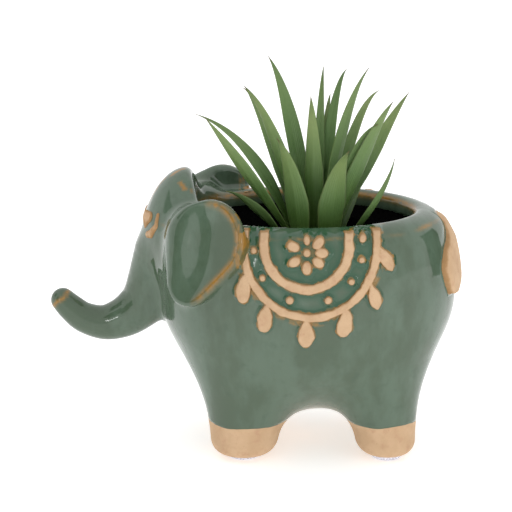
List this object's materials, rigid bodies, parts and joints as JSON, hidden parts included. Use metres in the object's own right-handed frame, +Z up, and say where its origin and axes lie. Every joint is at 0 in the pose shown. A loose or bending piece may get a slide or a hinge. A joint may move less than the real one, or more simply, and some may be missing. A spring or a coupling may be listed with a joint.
{
  "type": "elephant planter with artificial succulent",
  "caption": "Glazed ceramic elephant planter with relief saddle cloths, curled trunk and clay tail, holding a lift-out artificial succulent in black foam.",
  "frame": {"origin": "under the middle of the object's outline, on the ground plane that its bumper pads rest on", "axes": "+X from the trunk towards the tail, +Y towards the elephant's right side, +Z up"},
  "size_m": [0.1785, 0.1106, 0.1701],
  "materials": {
    "green_glaze": "gloss",
    "bare_clay": "matte",
    "clear_rubber": "satin",
    "black_foam": "matte",
    "leaf_plastic": "satin",
    "crown_plastic": "satin"
  },
  "bodies": {
    "pot": {"planter_body": "green_glaze", "ear_left": "green_glaze", "ear_right": "green_glaze", "saddle_inner_band_left": "bare_clay", "saddle_inner_band_right": "bare_clay", "saddle_fringe_band_left": "bare_clay", "saddle_fringe_band_right": "bare_clay", "saddle_flower_left": "bare_clay", "saddle_flower_right": "bare_clay", "tail": "bare_clay", "bumper_pad_front_left": "clear_rubber", "bumper_pad_front_right": "clear_rubber", "bumper_pad_rear_left": "clear_rubber", "bumper_pad_rear_right": "clear_rubber", "foam_block": "black_foam"},
    "plant": {"plant_crown": "crown_plastic", "leaf_01": "leaf_plastic", "leaf_02": "leaf_plastic", "leaf_03": "leaf_plastic", "leaf_04": "leaf_plastic", "leaf_05": "leaf_plastic", "leaf_06": "leaf_plastic", "leaf_07": "leaf_plastic", "leaf_08": "leaf_plastic", "leaf_09": "leaf_plastic", "leaf_10": "leaf_plastic", "leaf_11": "leaf_plastic", "leaf_12": "leaf_plastic", "leaf_13": "leaf_plastic", "leaf_14": "leaf_plastic", "leaf_15": "leaf_plastic", "leaf_16": "leaf_plastic", "leaf_17": "leaf_plastic", "leaf_18": "leaf_plastic", "leaf_19": "leaf_plastic", "leaf_20": "leaf_plastic", "leaf_21": "leaf_plastic"}
  },
  "joints": [
    {"name": "plant_lift", "type": "slide", "parent": "pot", "child": "plant", "axis": [0, 0, 1], "range_m": [0, 0.05]}
  ]
}
